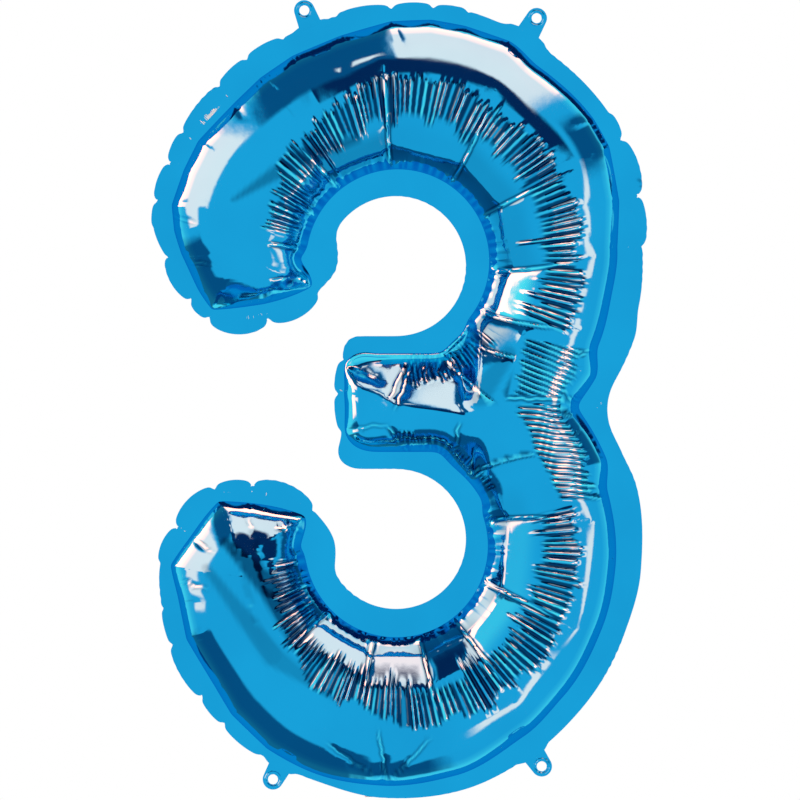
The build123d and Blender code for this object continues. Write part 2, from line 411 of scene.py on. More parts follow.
def pressure_field():
    """Solves a soap-film equation inside the seam, and returns (grid origin, field / distance on the grid)."""
    low = seam.points.min(axis=0) - 4 * GRID_STEP
    high = seam.points.max(axis=0) + 4 * GRID_STEP
    xs = np.arange(low[0], high[0], GRID_STEP)
    zs = np.arange(low[1], high[1], GRID_STEP)
    grid_x, grid_z = np.meshgrid(xs, zs, indexing="ij")
    _, inside = seam.nearest(np.column_stack([grid_x.ravel(), grid_z.ravel()]))
    inside = inside.reshape(grid_x.shape)
    free = inside > 0
    free[0, :] = free[-1, :] = free[:, 0] = free[:, -1] = False
    checker = (np.add.outer(np.arange(len(xs)), np.arange(len(zs))) % 2).astype(bool)
    field = np.where(free, 300.0, 0.0)
    pull = 2.0 * GRID_STEP**2
    for _ in range(SOLVER_SWEEPS):
        for colour in (checker & free, ~checker & free):
            around = np.zeros_like(field)
            around[1:-1, 1:-1] = field[2:, 1:-1] + field[:-2, 1:-1] + field[1:-1, 2:] + field[1:-1, :-2]
            field[colour] += OVER_RELAXATION * ((around[colour] + pull) / 4.0 - field[colour])
    known = inside > NEAR_SEAM
    ratio = np.where(known, field / np.maximum(inside, NEAR_SEAM), 0.0)
    for _ in range(CARRY_SWEEPS):
        total, count = np.zeros_like(ratio), np.zeros_like(ratio)
        for shift, axis in ((1, 0), (-1, 0), (1, 1), (-1, 1)):
            total += np.roll(ratio * known, shift, axis)
            count += np.roll(known.astype(float), shift, axis)
        new = (count > 0) & ~known
        ratio[new] = total[new] / count[new]
        known = known | new
    for _ in range(SMOOTH_SWEEPS):
        ratio[1:-1, 1:-1] = 0.5 * ratio[1:-1, 1:-1] + 0.125 * (
            ratio[2:, 1:-1] + ratio[:-2, 1:-1] + ratio[1:-1, 2:] + ratio[1:-1, :-2]
        )
    return low, ratio


def cubic_weights(t):
    """The four Catmull-Rom weights at a share t between the middle two samples."""
    return (
        0.5 * (-t + 2 * t**2 - t**3),
        0.5 * (2 - 5 * t**2 + 3 * t**3),
        0.5 * (t + 4 * t**2 - 3 * t**3),
        0.5 * (-(t**2) + t**3),
    )


field_origin, field_ratio = pressure_field()


def field_at(places):
    """The smooth field at each place."""
    cell = (places - field_origin) / GRID_STEP
    whole = np.floor(cell).astype(int)
    whole[:, 0] = whole[:, 0].clip(1, field_ratio.shape[0] - 3)
    whole[:, 1] = whole[:, 1].clip(1, field_ratio.shape[1] - 3)
    across, up = cubic_weights(cell[:, 0] - whole[:, 0]), cubic_weights(cell[:, 1] - whole[:, 1])
    total = np.zeros(len(places))
    for i in range(4):
        for j in range(4):
            total += across[i] * up[j] * field_ratio[whole[:, 0] + i - 1, whole[:, 1] + j - 1]
    return total


CROWN_CLEARANCE = 0.6                   # leaves room for the creases' ridges under the CAD's depth


def crown_scale():
    """The factor that makes the tubes' crowns as high as the CAD's."""
    crown = heading(np.arange(-20, 170, 10)) * CROWN_RADIUS + UPPER_RING
    _, inside = seam.nearest(crown)
    return (half_depth - CROWN_CLEARANCE) ** 2 / np.median(inside * field_at(crown))


field_scale = crown_scale()


# Creases, counterclockwise: direction at the crown, direction at the inner seam (degrees), and how dark
# the painted shade (or, if negative, how light the painted highlight) is on the flat band of foil between
# it and the next one.
UPPER_CREASES = (
    (-57.0, -66.0, 0.1), (-37.2, -51.4, 0.25), (-23.8, -32.0, -0.85), (-1.2, -6.4, 0.12), (27.8, 28.0, 0.2),
    (58.5, 55.1, 0.05), (94.4, 94.6, 0.3), (131.4, 129.2, -0.15), (150.0, 151.5, -0.2),
    (172.0, 173.0, -0.2), (188.0, 190.0, 0.0),
)
LOWER_CREASES = (
    (-187.0, -189.4, 0.3), (-170.0, -170.6, 0.6), (-155.9, -156.5, 0.35), (-136.8, -135.9, 0.0),
    (-102.0, -104.5, -0.06), (-76.3, -75.9, 0.1), (-52.4, -51.7, -0.4), (-24.3, -22.3, -0.2),
    (9.7, 15.4, 0.1), (34.0, 46.0, 0.0),
)
COMB_PITCH = 3.0                        # from ridge to ridge, at the crown
OUTER_COMB = 80.0                       # a comb that ends beyond this radius runs over the crown
# How much lighter the ridges' crests are painted: a painted highlight.
CREST_PAINTED_HIGHLIGHT = 0.85
LONGEST_CREASE = 87.0                   # the radius that the longest creases reach
BAND_KNOTS = (0.0, 1.6, 8.6, 24.0, 31.7)     # from the inner seam: the flat bands' edges
BESIDE_CREASE = np.array([0.0, 0.4, 0.85, 1.35])     # distances from a crease at which the sheet has points


def own_half(places, number, spare=0.0):
    """Whether each place is on the side of the upper ring (number 0) or of the lower one (1)."""
    if number == 0:
        return places[:, 1] > MIDDLE_Z - spare
    return places[:, 1] <= MIDDLE_Z + spare


def ridge_tone(ridge, around, deepest, furrow, light):
    """Tone of a row of ridges: painted highlights on the crests and painted shade in the furrows, on a ground of
    painted shade of its own.
    """
    dark = around + (deepest - around) * ease(0.3, 0.75, 1.0 - ridge) * furrow
    return dark * (1.0 - light) - CREST_PAINTED_HIGHLIGHT * light


class Ring:
    """One bent tube: creases cross its inner half and leave straight, flat panels between them."""

    def __init__(self, centre, creases, combs, extent, seed):
        self.centre = np.asarray(centre)
        self.extent = np.array(extent)
        self.crown_angles = np.array([crown for crown, _, _ in creases])
        self.inner_angles = np.array([inner for _, inner, _ in creases])
        self.tones = np.array([tone for _, _, tone in creases])
        self.combs = combs
        self.seed = seed

    def polar(self, places):
        """(radius, direction in degrees from the first crease round) of each place."""
        away = places - self.centre
        angle = np.degrees(np.arctan2(away[:, 1], away[:, 0]))
        start = (self.crown_angles[0] + self.crown_angles[-1]) / 2 - 180.0
        return np.hypot(away[:, 0], away[:, 1]), start + (angle - start) % 360.0

    def outer(self, angle):
        """Radius at which creases and ridges run out: nearer the hole towards the rounded end."""
        return np.interp(angle, self.extent[:, 0], self.extent[:, 1])

    def length_scale(self, angle):
        """How long the creases are, as a share of the longest."""
        return (self.outer(angle) - INNER_SEAM_RADIUS) / (LONGEST_CREASE - INNER_SEAM_RADIUS)

    def share_out(self, radius, angle):
        """0 at the inner seam, 1 at the crown, or sooner where the creases are shorter."""
        return (radius - INNER_SEAM_RADIUS) / (CROWN_RADIUS - INNER_SEAM_RADIUS) / self.length_scale(angle)

    def crease_angles(self, radius):
        """The direction of every crease at each radius, one row per place."""
        share = ((radius - INNER_SEAM_RADIUS) / (CROWN_RADIUS - INNER_SEAM_RADIUS)).clip(-0.3, 1.6)
        return self.inner_angles + share[:, None] * (self.crown_angles - self.inner_angles)

    def panels(self, radius, angle):
        """(share from one crease to the next, half of the angle between them, panel number, inside the row)."""
        lines = self.crease_angles(radius)
        number = np.sum(angle[:, None] >= lines, axis=1) - 1
        inside = (number >= 0) & (number < lines.shape[1] - 1)
        number = number.clip(0, lines.shape[1] - 2)
        row = np.arange(len(radius))
        low, high = lines[row, number], lines[row, number + 1]
        return (angle - low) / (high - low), (high - low) / 2, number, inside

    def chord(self, radius, share, half):
        """The radius at which a straight line between two creases has each place's distance along it."""
        half = np.radians(half)
        return radius * np.cos((share - 0.5) * 2.0 * half) * half / np.sin(half)

    def lattice(self, radii, step):
        """Points in rows that follow the creases, closer together beside each crease."""
        points = []
        for radius in radii:
            lines = self.crease_angles(np.array([radius]))[0]
            for low, high in zip(lines[:-1], lines[1:]):
                arc = math.radians(high - low) * radius
                count = max(2, int((arc - 2.9) / step))
                between = np.linspace(BESIDE_CREASE[-1], arc - BESIDE_CREASE[-1], count)[1:-1]
                marks = np.concatenate([BESIDE_CREASE, between, (arc - BESIDE_CREASE)[:0:-1]])
                points.append(self.centre + radius * heading(low + marks / arc * (high - low)))
        return np.vstack(points)

    def pillow(self, places):
        """The places moved along their radius, so that each panel between creases comes out straight."""
        radius, angle = self.polar(places)
        share, half, _, inside = self.panels(radius, angle)
        t = self.share_out(radius, angle)
        weight = plateau(t, 0.0, 0.16, 0.66, 0.98) - 0.9 * plateau(t, 0.98, 1.12, 1.25, 1.6)
        moved = radius + (self.chord(radius, share, half) - radius) * weight * inside * self.end_fade(angle)
        return self.centre + (places - self.centre) * (moved / radius.clip(1.0))[:, None]

    def end_fade(self, angle):
        """1 along the row of creases, falling to 0 past its two ends."""
        first, last = self.crown_angles[0], self.crown_angles[-1]
        return plateau(angle, first + 2, first + 16, last - 16, last - 2)

    def bands(self, radius, angle):
        """(height, tone) of the flat bands on the inner half: how far they lie below the round section, and the
        painted shade or painted highlight on each band, with a narrow strip of painted shade near the inner
        seam.
        """
        share, half, number, inside = self.panels(radius, angle)
        scale = self.length_scale((self.crown_angles[number] + self.crown_angles[number + 1]) / 2)
        reach = BAND_KNOTS[-1]
        deep = ((self.chord(radius, share, half) - INNER_SEAM_RADIUS) / scale).clip(0.0, reach)

        def round_height(distance):
            return half_depth * np.sqrt(1.0 - ((reach - distance) / reach) ** 2)

        total = -round_height(deep)
        for panel in np.unique(number):
            knots = np.array(BAND_KNOTS)
            knots[2] += 3.0 * (cell_value(panel, self.seed + 0.3) - 0.5)
            knots[3] += 5.0 * (cell_value(panel, self.seed + 0.7) - 0.5)
            knot_height = round_height(knots)
            knot_height[2] += 2.2 * (cell_value(panel, self.seed + 1.1) - 0.5)
            here = number == panel
            total[here] += np.interp(deep[here], knots, knot_height)
        # Painted shade (or, where negative, painted highlight) over each band, and a narrow strip of painted
        # shade near the inner seam.
        own_tone = self.tones[number]
        broad = plateau(deep, 8.0, 10.0, 16.0, 25.0)
        narrow = plateau(deep, 1.5, 3.0, 8.0, 9.4)
        tone = own_tone * broad + (0.3 + 0.3 * (own_tone > 0.2)) * narrow
        fade = inside * self.end_fade(angle)
        return total * fade * scale, tone * fade

    def creases(self, radius, angle):
        """(height, tone) of the creases themselves: a thin folded ridge in the bottom of a valley, with painted
        shade beside it and a painted highlight along it.
        """
        lines = self.crease_angles(radius)
        across = np.radians(angle[:, None] - lines) * radius[:, None]
        t = self.share_out(radius, angle)
        total, tone = np.zeros(len(radius)), np.zeros(len(radius))
        for number in range(lines.shape[1]):
            wobble = 0.12 * wave_noise(radius, 9.0, self.seed + 31 * number)
            u = across[:, number] + wobble
            reach = 1.04 + 0.12 * (cell_value(number, self.seed) - 0.5)
            along = plateau(t, 0.0, 0.1, reach - 0.1, reach + 0.14)
            deep = 1.35 + 0.4 * np.sin(radius * 0.45 + number)
            total += along * (1.15 * bell(u, 0.62) - deep * np.exp(-np.abs(u) / 1.7))
            tone += along * (0.85 * bell(np.abs(u) - 1.2, 0.45) - 0.9 * bell(u, 0.4))
        return total, tone

    def comb(self, radius, angle):
        """(height, tone) of rows of fine ridges, each ridge with its own length and height; the tone is painted
        shade on the ground and in the furrows, and painted highlights on the crests.
        """
        total, tone = np.zeros(len(radius)), np.zeros(len(radius))
        share, _, panel, _ = self.panels(radius, angle)
        bow = (4.0 * share * (1.0 - share)).clip(0, 1)
        for number, (low, high, inner_end, outer_end, ragged, height) in enumerate(self.combs):
            seed = self.seed + 13.0 * number
            along = np.radians(angle) * CROWN_RADIUS
            along = along + 1.1 * wave_noise(along, 23.0, int(seed) + 5)
            cell = np.floor(along / COMB_PITCH)
            u = along / COMB_PITCH - cell - 0.5
            group = (0.5 + 0.5 * wave_noise(cell * COMB_PITCH, 34.0, int(seed) + 8)).clip(0, 1)
            shorter = (LONGEST_CREASE - self.outer(angle)) * (outer_end > OUTER_COMB)
            outer = outer_end - shorter + 0.35 * ragged * bow + ragged * (cell_value(cell, seed) - 0.7)
            inner = inner_end - 0.85 * shorter - 2.4 * ragged * cell_value(cell, seed + 1) ** 2 * group
            size = height * (0.55 + 0.75 * cell_value(cell, seed + 2)) * (0.6 + 0.5 * group)
            window = plateau(radius, inner - 4.0, inner + 5.0, outer - 1.4, outer + 0.7)
            window = window * plateau(angle, low - 3, low + 3, high - 3, high + 3)
            ridge = np.cos(math.pi * u) ** 2
            total += size * ridge * window
            # Painted shade on the ground between the ridges and in their furrows, and painted highlights on
            # their crests.
            around = 0.62 + 0.33 * cell_value(panel, seed + 4.0)
            light = ease(0.6, 0.92, ridge) * (0.35 + 0.65 * cell_value(cell, seed + 3.0))
            shades = ridge_tone(ridge, around, 0.95, 0.7 + 0.3 * group, light)
            tone += ease(0.15, 0.7, window) * shades
        return total, tone

    def shape(self, places):
        """(height, tone) of all of the above."""
        radius, angle = self.polar(places)
        height, tone = self.bands(radius, angle)
        for more, over in (self.comb(radius, angle), self.creases(radius, angle)):
            height, tone = height + more, overlay(tone, over)
        return height, tone

    def near_inner(self, places):
        """1 at the tube's inner seam and crown, 0 well outside its crown."""
        radius, angle = self.polar(places)
        return (1.0 - ease(84.0, 96.0, radius)) * self.end_fade(angle)


# Loose creases: from (x, z) to (x, z), depth of the valley, height of the thin ridge in it.
FOLDS = (
    (9.3, 27.3, -2.1, -4.0, 1.3, 0.9), (6.0, 25.0, -5.0, 0.0, 0.6, 0.5),
    (-5.9, -12.6, 7.4, -29.7, 1.3, 0.8), (28.3, -10.7, 26.4, -26.0, 0.9, 0.6),
    (50.2, 0.6, 98.0, -0.2, 1.5, 0.9), (-71.8, -56.3, -62.3, -93.7, 0.8, 0.15),
    (-76.5, -76.0, -68.0, -108.0, 0.6, 0.0), (-53.0, 57.0, -64.5, 47.0, 0.9, 0.5),
    (-45.0, 60.0, -62.0, 47.5, 0.8, 0.4), (-26.0, 18.0, -8.0, 8.0, 0.9, 0.4),
    (-26.0, -14.0, -6.0, -12.0, 0.7, 0.3), (-30.0, 90.0, -44.0, 96.0, 0.7, 0.4),
    (-109.0, 88.0, -98.0, 84.0, 0.8, 0.3), (-100.0, 66.0, -90.0, 64.0, 0.8, 0.4),
    (-98.0, -66.0, -90.0, -72.0, 0.9, 0.5), (-105.0, -86.0, -92.0, -90.0, 0.8, 0.3),
    (-6.0, -183.0, -10.0, -158.0, 1.4, 0.5), (-6.0, -183.0, 14.0, -162.0, 1.2, 0.4),
    (-6.0, -183.0, -34.0, -164.0, 1.1, 0.3),
)


# The points of the sheet ---------------------------------------------------------------------------
EDGE_ROWS = (0.1, 0.4, 0.7, 0.92)       # shares of the way from the cut edge to the seam
SEAM_ROWS = (0.25, 0.9, 1.9, 3.2, 4.8, 6.7, 8.7)     # distances inside the seam
COARSE_GRID, FINE_GRID = (2.1, 9.7), (0.75, 9.2)     # (step, how far inside the seam it starts)
ROW_HEIGHT = 0.866                      # of a grid of even triangles, as a share of its step
LATTICE_ROWS = np.arange(52.2, 107.0, 1.75)
LATTICE_STEP, LATTICE_REACH = 0.5, 92.0      # the lattice stops at this radius


# Blocks of straight ridges at the waist: their left and right sides, each from (x, z) down to (x, z), then
# the pitch, how fast the ridges drop to the right, and their height.
BLOCKS = (
    (53.0, -1.5, 76.8, -49.0, 80.6, -1.5, 98.0, -49.0, 2.7, 0.12, 1.15),
    (59.0, 30.0, 52.6, 0.8, 92.0, 24.0, 80.1, 0.8, 2.7, 0.42, 0.6),
)


def block_shape(places):
    """(height, tone, share) of the straight ridges; share is 1 in a block and 0 outside. The tone is painted
    highlight on the crests and painted shade in the furrows and on the ground, the ground darker towards each
    block's left side.
    """
    height, tone, share = np.zeros(len(places)), np.zeros(len(places)), np.zeros(len(places))
    for number, (ax, az, bx, bz, cx, cz, dx, dz, pitch, drop, size) in enumerate(BLOCKS):
        x, z = places[:, 0], places[:, 1]
        down_left, down_right = (az - z) / (az - bz), (cz - z) / (cz - dz)
        left = ax + (bx - ax) * down_left.clip(-0.1, 1.1)
        right = cx + (dx - cx) * down_right.clip(-0.1, 1.1)
        across = ((x - left) / (right - left)).clip(-1.0, 2.0)
        down = down_left * (1.0 - across) + down_right * across
        phase = (z + drop * (x - ax)) / pitch + 0.1 * wave_noise(x, 23.0, 500 + number)
        cell = np.floor(phase)
        u = phase - cell - 0.5
        start = 0.10 * cell_value(cell, 70.0 + number)
        stop = 1.0 - 0.22 * cell_value(cell, 71.0 + number)
        window = plateau(across, start - 0.05, start + 0.05, stop - 0.04, stop + 0.04)
        window = window * plateau(down, 0.0, 0.06, 0.94, 1.0)
        ridge = np.cos(math.pi * u) ** 2
        height += size * ridge * window
        light = ease(0.5, 0.86, ridge) * (0.5 + 0.5 * cell_value(cell, 72.0 + number))
        around = 0.5 * (1.0 - ease(0.15, 0.45, across)) + 0.3
        furrow = 0.35 + 0.65 * cell_value(cell, 73.0 + number)
        tone += window * ridge_tone(ridge, around, 0.9, furrow, light)
        level = (down > -0.03) & (down < 1.03)
        share = np.maximum(share, plateau(across, -0.08, -0.02, 1.02, 1.08) * level)
    return height, tone, share


def busy(rings, places):
    """Whether ridges or a loose crease run over each place, so that the sheet has to be fine there."""
    found = block_shape(places)[2] > 0.0
    for number, ring in enumerate(rings):
        radius, angle = ring.polar(places)
        for low, high, inner, outer, ragged, _ in ring.combs:
            inner = inner - 24.0 * (outer > OUTER_COMB)
            along_comb = (angle > low - 4) & (angle < high + 4)
            found |= own_half(places, number) & along_comb & (radius > inner - 5) & (radius < outer + ragged + 2)
    for *line, _, _ in FOLDS:
        along, u, _, length = beside_line(places, line)
        found |= (along > -1.5) & (along < length + 2.0) & (np.abs(u) < 2.6)
    return found


def sheet_points(rings):
    """(all points, how many of them are the edge loop, how many the seam loop). Those come first."""
    index, _ = seam.nearest(edge.points)
    rows = [edge.points, seam.points]
    for share in EDGE_ROWS:
        rows.append(edge.points * (1.0 - share) + seam.points[index] * share)
    for offset in SEAM_ROWS:
        row = seam.points - seam.normal * offset
        _, inside = seam.nearest(row)
        row = row[np.abs(inside - offset) < 0.16 + 0.02 * offset]
        if offset > 5.5:
            for ring in rings:
                radius, angle = ring.polar(row)
                row = row[(radius > 60.0) | (ring.end_fade(angle) < 0.5)]
        rows.append(row)
    for number, ring in enumerate(rings):
        row = ring.lattice(LATTICE_ROWS, LATTICE_STEP)
        _, inside = seam.nearest(row)
        radius, _ = ring.polar(row)
        near = (radius < LATTICE_REACH) & (block_shape(row)[2] == 0.0)
        clear = (inside > 5.7) & ((radius < 60.0) | (inside > 9.6))
        rows.append(row[own_half(row, number) & near & clear])
    low, high = seam.points.min(axis=0), seam.points.max(axis=0)
    for (step, margin), fine in ((COARSE_GRID, False), (FINE_GRID, True)):
        xs, zs = np.arange(low[0], high[0], step), np.arange(low[1], high[1], step * ROW_HEIGHT)
        row = staggered(xs, zs, step / 2)
        if fine:
            row = row[busy(rings, row)]
        _, inside = seam.nearest(row)
        row = row[inside > margin]
        covered = busy(rings, row) != fine
        for number, ring in enumerate(rings):
            radius, angle = ring.polar(row)
            first, last = ring.crown_angles[0], ring.crown_angles[-1]
            near = (radius < LATTICE_REACH + 0.6) & (block_shape(row)[2] == 0.0)
            in_row = (radius > 51.0) & (angle > first - 1) & (angle < last + 1)
            covered |= own_half(row, number, 1.0) & near & in_row
        rows.append(row[~covered])
    return np.vstack(rows), len(edge.points), len(seam.points)


# Rows of ridges: (from, to, inner end, outer end, raggedness, height)
UPPER_COMBS = (
    (-23.0, 166.0, 71.0, 87.0, 5.5, 1.25), (-88.0, -40.0, 49.0, 61.0, 4.0, 0.8),
)
LOWER_COMBS = (
    (-172.0, 12.0, 71.0, 87.0, 5.5, 1.25), (30.0, 90.0, 49.0, 55.0, 2.0, 0.6),
)
# How far out creases and ridges reach: (direction, radius)
UPPER_EXTENT = ((-60.0, 87.0), (95.0, 87.0), (112.0, 79.0), (135.0, 73.0), (157.0, 65.0), (190.0, 64.0))
LOWER_EXTENT = ((-190.0, 60.0), (-155.0, 63.0), (-136.0, 72.0), (-100.0, 81.0), (-78.0, 87.0), (60.0, 87.0))
rings = (
    Ring(UPPER_RING, UPPER_CREASES, UPPER_COMBS, UPPER_EXTENT, 11),
    Ring(LOWER_RING, LOWER_CREASES, LOWER_COMBS, LOWER_EXTENT, 47),
)


# The skin's height over the flat sheet --------------------------------------------------------------
SEAM_EASE = 2.2                         # how far the skin leans in from upright where it leaves the seam
FLAT_TOP = 30.2                         # the junction of the tubes and the arm swells no higher than this
TOP_ROUNDING, FACET_ROUNDING = 1.2, 0.7      # how softly the skin turns onto that level, and onto a facet
PUCKER_PITCH = 4.3                      # along the seam
VALLEY_DEPTH = 0.8                      # of the valleys at the seam's pinches
WANDER = 0.42                           # how far the smooth skin strays from its even curve
WALL_PAINTED_LIGHT = 0.65                        # painted light: how much lighter the steep foil beside the seam is painted
EDGE_HALF_GAP = 0.12                    # half the drawn thickness of the flat edge, at one panel's face
VALVE_HALF_GAP = 0.26                   # and this much more where the valve's films lie between the panels
FLAT_EDGE_WIDTH = 9.0                   # from the seam to the cut edge
EDGE_SWELL, RIPPLE_HEIGHT = 2.4, 0.12   # how far the flat edge leans out of its plane, and its fine ripples


def sheet_noise(places, wavelength, seed):
    """Smooth seeded noise over the plane, about -1 to 1."""
    rng = np.random.default_rng(seed)
    total = np.zeros(len(places))
    for _ in range(7):
        turn = rng.uniform(0, math.pi)
        scale = 2 * math.pi / (wavelength * rng.uniform(0.75, 1.35))
        along = places[:, 0] * math.cos(turn) + places[:, 1] * math.sin(turn)
        total += np.sin(along * scale + rng.uniform(0, 6.3))
    return total / 4.0


def middle_surface(places):
    """How far the flat edge strays towards the viewer (negative) or away, at each place outside the seam."""
    index, inside = seam.nearest(places)
    out = (-inside).clip(0.0, 12.0)
    lean = (cell_value(gap_number + 1.0, 3.1) - 0.5) * 2.0
    scalloped = gap_span < LONGEST_SCALLOP
    push = lean * scalloped * np.sin(math.pi * gap_share) * (gap_span / 26.0).clip(0, 1)
    along = np.arange(len(seam.points)) * LINE_STEP
    push = push + 0.16 * wave_noise(along, 46.0, 77)
    push = push * (1.0 - near_places(seam, tab_roots + [valve_mouth], 22.0))
    from_pinch = np.minimum(gap_share, 1.0 - gap_share) * gap_span
    ripple = np.cos(2 * math.pi * along / 2.6) * np.exp(-from_pinch / 4.5) * scalloped
    ripple = ripple + 0.35 * np.cos(2 * math.pi * along / 3.9) * (0.5 + 0.5 * wave_noise(along, 31.0, 78))
    fade = ease(0.0, 1.5, out) * (1.0 - 0.6 * ease(3.0, 9.0, out))
    swell = EDGE_SWELL * soften_loop(push, 3.0)[index] * (out / FLAT_EDGE_WIDTH) ** 1.3
    return swell + RIPPLE_HEIGHT * ripple[index] * fade


def edge_gap(places):
    """Half the space between the two panels' faces over the flat edge: wider where the valve passes."""
    across = 1.0 - ease(0.010 / MM, 0.014 / MM, np.abs(places[:, 0] - valve_mouth[0]))
    up = 1.0 - ease(valve_high.z / MM - 1.0, valve_high.z / MM + 6.0, places[:, 1])
    return EDGE_HALF_GAP + VALVE_HALF_GAP * across * up * (places[:, 1] < BOTTOM_Z)


# Flat facets at the rounded ends: a fold line from (x, z) to (x, z), the height at each end of it, how
# steeply the facet falls away on the right of the line, and how far it reaches.
FACETS = (
    (-101.0, 92.0, -96.0, 70.0, 22.0, 22.0, 1.0, 26.0), (-96.0, 70.0, -86.0, 55.0, 21.0, 20.0, 1.1, 26.0),
    (-90.0, 61.0, -62.0, 58.0, 20.0, 20.0, 1.1, 26.0), (-67.0, 50.0, -58.0, 84.0, 21.5, 21.5, 0.7, 26.0),
    (-54.5, -63.0, -69.7, -50.2, 20.0, 20.0, 1.05, 26.0),
    (-71.1, -54.3, -98.3, -68.5, 19.0, 19.0, 1.35, 26.0),
    (-62.3, -93.7, -85.4, -68.5, 27.0, 27.0, 0.5, 26.0),
    (-52.4, -76.7, -53.5, -63.0, 19.5, 19.5, 0.7, 26.0), (-26.0, -16.0, 30.0, -16.0, 11.0, 24.0, 0.9, 30.0),
    (26.0, -3.0, -26.0, -2.0, 22.0, 16.0, 0.85, 42.0), (-10.0, 24.0, -9.0, -26.0, 14.5, 14.5, 0.42, 30.0),
)
# Broad bands of painted shade, standing for slack hollows that mirror the dark side of the room; the skin is not
# hollowed for them: from (x, z) to (x, z), width at each end, tone.
SHADES = (
    (-79.0, 95.0, -50.0, 113.5, 2.0, 9.0, 0.5), (-50.0, 113.5, -20.0, 124.0, 9.0, 4.0, 0.6),
    (-82.5, -68.0, -61.0, -90.0, 5.0, 12.0, 0.75), (-61.0, -90.0, -47.0, -118.0, 12.0, 7.0, 0.8),
    (-92.0, -80.0, -60.0, -122.0, 4.0, 10.0, 0.35), (-60.0, -122.0, -30.0, -143.0, 10.0, 2.0, 0.3),
    (38.0, 2.0, 52.0, 22.0, 11.0, 7.0, 0.3), (52.0, 3.0, 62.0, 26.0, 5.0, 4.0, 0.7),
)


def shaded(places):
    """Painted shade of the slack hollows; only the colour is darkened, the skin is not hollowed."""
    tone = np.zeros(len(places))
    for *line, wide_start, wide_end, value in SHADES:
        along, out, past, length = beside_line(places, line)
        half = (wide_start + (wide_end - wide_start) * (along / length).clip(0.0, 1.0)) / 2
        tone = np.maximum(tone, value * (1.0 - ease(half - 1.6, half + 1.2, np.hypot(out, past))))
    return tone


def faceted(places, height):
    """The skin cut down by the flat facets."""
    for *line, start, end, slope, reach in FACETS:
        along, out, past, length = beside_line(places, line)
        level = start + (end - start) * (along / length).clip(0.0, 1.0)
        plane = level - slope * out + 0.25 * past
        plane = np.where(out < 0.0, level + np.maximum(slope, 0.6) * -out, plane)
        weight = (1.0 - ease(2.0, 13.0, past)) * (1.0 - ease(reach - 12.0, reach, out))
        over = ((height - plane) / FACET_ROUNDING).clip(-30, 60)
        height = height - weight * FACET_ROUNDING * np.logaddexp(0.0, over)
    return height


def folded(places):
    """(height, tone) of the loose creases: painted shade beside each ridge and a painted highlight along it."""
    total, tone = np.zeros(len(places)), np.zeros(len(places))
    for number, (*line, deep, ridge) in enumerate(FOLDS):
        along, u, _, length = beside_line(places, line)
        u = u + 0.5 * wave_noise(along, 11.0, 300 + number)
        window = plateau(along, -1.0, 3.0, length - 5.0, length + 3.0)
        total += window * (ridge * bell(u, 0.6) - deep * np.exp(-np.abs(u) / 1.8))
        shades = 0.8 * bell(np.abs(u) - 1.0, 0.5) - 0.9 * bell(u, 0.4)
        tone += window * shades * min(1.0, ridge + 0.2)
    return total, tone


def body_height(places, inside, upper_share):
    """Height of the plain inflated skin, with its flat facets."""
    upper_share = upper_share[:, None]
    warped = rings[0].pillow(places) * upper_share + rings[1].pillow(places) * (1.0 - upper_share)
    warped = np.where((inside > 2.0)[:, None], warped, places)
    _, moved_inside = seam.nearest(warped)
    depth_in = np.where(inside > 2.0, moved_inside, inside).clip(0.0)
    depth_in = depth_in**2 / (depth_in + SEAM_EASE)
    height = np.sqrt(field_scale * depth_in * field_at(warped).clip(0.0))
    height = height - TOP_ROUNDING * np.logaddexp(0.0, (height - FLAT_TOP) / TOP_ROUNDING)
    return np.where(inside > 1.0, faceted(places, height), height)


def creased(places, upper_share):
    """(height, tone) of everything that lies over the plain skin, away from the seam; the tone is painted shade
    and painted highlight.
    """
    upper, upper_tone = rings[0].shape(places)
    lower, lower_tone = rings[1].shape(places)
    loose, loose_tone = folded(places)
    ridges, ridge_shades, share = block_shape(places)
    height = upper * upper_share + lower * (1.0 - upper_share) + loose
    height = height * (1.0 - share) + ridges
    tone = upper_tone * upper_share + lower_tone * (1.0 - upper_share)
    tone = tone + shaded(places) * (1.0 - np.abs(tone).clip(0, 1))
    tone = tone * (1.0 - share) + ridge_shades
    return height, overlay(tone, loose_tone)


def puckered(index, inside, inner_side, seed):
    """(height, tone, share) of the small gathers along the seam; they are deepest on the inner side. The tone is
    painted shade in their hollows and painted highlights on their crests.
    """
    along = index * LINE_STEP
    phase = along / PUCKER_PITCH + 0.35 * wave_noise(along, 19.0, seed)
    cell = np.floor(phase + 0.5)
    pucker = np.cos(2 * math.pi * phase) * (0.5 + 0.5 * cell_value(cell, seed + 1.0))
    height = pucker * (0.2 + 0.75 * inner_side) * np.exp(-inside.clip(0) / (1.5 + 1.6 * inner_side))
    reach = 2.6 + 2.2 * cell_value(cell, seed + 6.0)
    share = plateau(inside, 0.1, 0.5, reach - 0.6, reach + 0.6) * inner_side
    tone = share * (0.75 * ease(0.0, 0.5, -pucker) - 0.95 * ease(0.15, 0.5, pucker))
    return height * ease(0.0, 0.9, inside), tone, share


def pinch_valleys(places, seed):
    """Depth of the valleys that run inwards from the seam's pinches."""
    total = np.zeros(len(places))
    for number, (mark, normal) in enumerate(zip(seam.points[pinches], seam.normal[pinches])):
        swing = (cell_value(number, seed + 2.0) - 0.5) * 0.9
        inward = np.array([-normal[0] * math.cos(swing) + normal[1] * math.sin(swing),
                           -normal[1] * math.cos(swing) - normal[0] * math.sin(swing)])
        away = places - mark
        deep, beside = away @ inward, away @ np.array([-inward[1], inward[0]])
        reach = 9.0 + 14.0 * cell_value(number, seed + 3.0)
        width = 0.9 + 0.13 * deep.clip(0)
        total += np.exp(-np.hypot(beside, 0.4) / width) * plateau(deep, -0.5, 1.5, reach * 0.3, reach)
    return VALLEY_DEPTH * total


